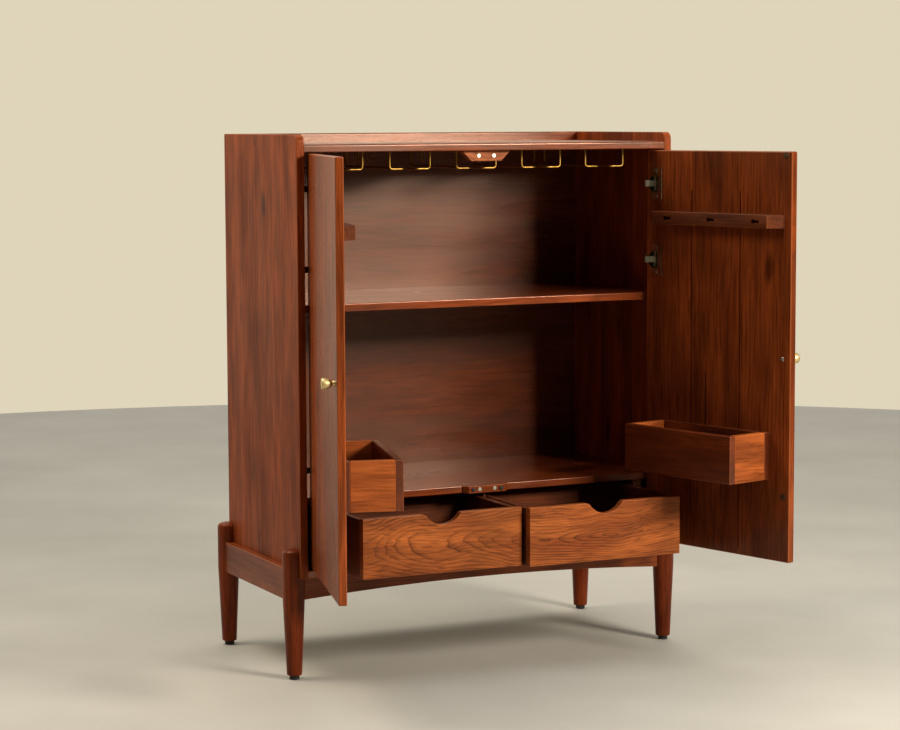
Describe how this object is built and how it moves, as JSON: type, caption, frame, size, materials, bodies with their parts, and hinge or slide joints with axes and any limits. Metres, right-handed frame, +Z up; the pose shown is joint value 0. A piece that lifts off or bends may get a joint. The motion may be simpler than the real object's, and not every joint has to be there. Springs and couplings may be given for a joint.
{
  "type": "bar armoire",
  "caption": "Lacquered wooden bar armoire on turned legs, with inset doors that carry bins and tool rails, scooped drawers, a shelf and stemware hangers.",
  "frame": {"origin": "on the floor, below the middle of the side panels in width and depth", "axes": "+X to the right of a person facing the doors, +Y to the back, +Z up"},
  "size_m": [0.9698, 0.7413, 1.016],
  "materials": {
    "lacquered_wood": "satin lacquer",
    "inner_wood": "satin lacquer",
    "brass": "satin brass",
    "nickel": "nickel plate",
    "black_rubber": "matt"
  },
  "bodies": {
    "carcass": {"back_panel": "lacquered_wood", "bottom_catch_block": "lacquered_wood", "carcass_floor": "lacquered_wood", "catch_bumpers": "black_rubber", "catch_magnets": "nickel", "drawer_deck": "lacquered_wood", "drawer_divider": "lacquered_wood", "foot_glides": "black_rubber", "front_apron": "lacquered_wood", "front_left_leg": "lacquered_wood", "front_right_leg": "lacquered_wood", "left_bay_partition": "lacquered_wood", "left_hinge_arms": "nickel", "left_hinge_plates": "nickel", "left_side_panel": "lacquered_wood", "left_side_rail": "lacquered_wood", "middle_shelf": "lacquered_wood", "rear_apron": "lacquered_wood", "rear_gallery": "lacquered_wood", "rear_left_leg": "lacquered_wood", "rear_right_leg": "lacquered_wood", "right_bay_partition": "lacquered_wood", "right_hinge_arms": "nickel", "right_hinge_plates": "nickel", "right_side_panel": "lacquered_wood", "right_side_rail": "lacquered_wood", "shelf_pins": "nickel", "stemware_hanger_1": "brass", "stemware_hanger_2": "brass", "stemware_hanger_3": "brass", "stemware_hanger_4": "brass", "stemware_hanger_5": "brass", "top_board": "lacquered_wood", "top_catch_block": "lacquered_wood"},
    "left_door": {"left_door_panel": "lacquered_wood", "left_door_knob": "brass", "left_tool_rail": "lacquered_wood", "left_bin_long_boards": "lacquered_wood", "left_bin_ends": "lacquered_wood", "left_bin_floor": "inner_wood", "left_hinge_cups": "nickel", "left_hinge_pins": "nickel", "left_strike_discs": "nickel"},
    "left_drawer": {"left_drawer_front": "lacquered_wood", "left_drawer_sides": "lacquered_wood", "left_drawer_back": "lacquered_wood", "left_drawer_bottom": "inner_wood"},
    "right_door": {"right_door_panel": "lacquered_wood", "right_door_knob": "brass", "right_tool_rail": "lacquered_wood", "right_bin_long_boards": "lacquered_wood", "right_bin_ends": "lacquered_wood", "right_bin_floor": "inner_wood", "right_hinge_cups": "nickel", "right_hinge_pins": "nickel", "right_strike_discs": "nickel"},
    "right_drawer": {"right_drawer_front": "lacquered_wood", "right_drawer_sides": "lacquered_wood", "right_drawer_back": "lacquered_wood", "right_drawer_bottom": "inner_wood"}
  },
  "joints": [
    {"name": "left_door_hinge", "type": "hinge", "parent": "carcass", "child": "left_door", "pos_m": [-0.364, -0.1815, 0.6], "axis": [0, 0, -1], "range_deg": [-105, 0]},
    {"name": "right_door_hinge", "type": "hinge", "parent": "carcass", "child": "right_door", "pos_m": [0.364, -0.1815, 0.6], "axis": [0, 0, 1], "range_deg": [-105, 0]},
    {"name": "left_drawer_slide", "type": "slide", "parent": "carcass", "child": "left_drawer", "axis": [0, -1, 0], "range_m": [-0.256, 0]},
    {"name": "right_drawer_slide", "type": "slide", "parent": "carcass", "child": "right_drawer", "axis": [0, -1, 0], "range_m": [-0.276, 0]}
  ],
  "couplings": [
    {"joint": "left_drawer_slide", "follows": "left_door_hinge", "m_per_rad": 0.13969},
    {"joint": "right_drawer_slide", "follows": "right_door_hinge", "m_per_rad": 0.1506}
  ]
}
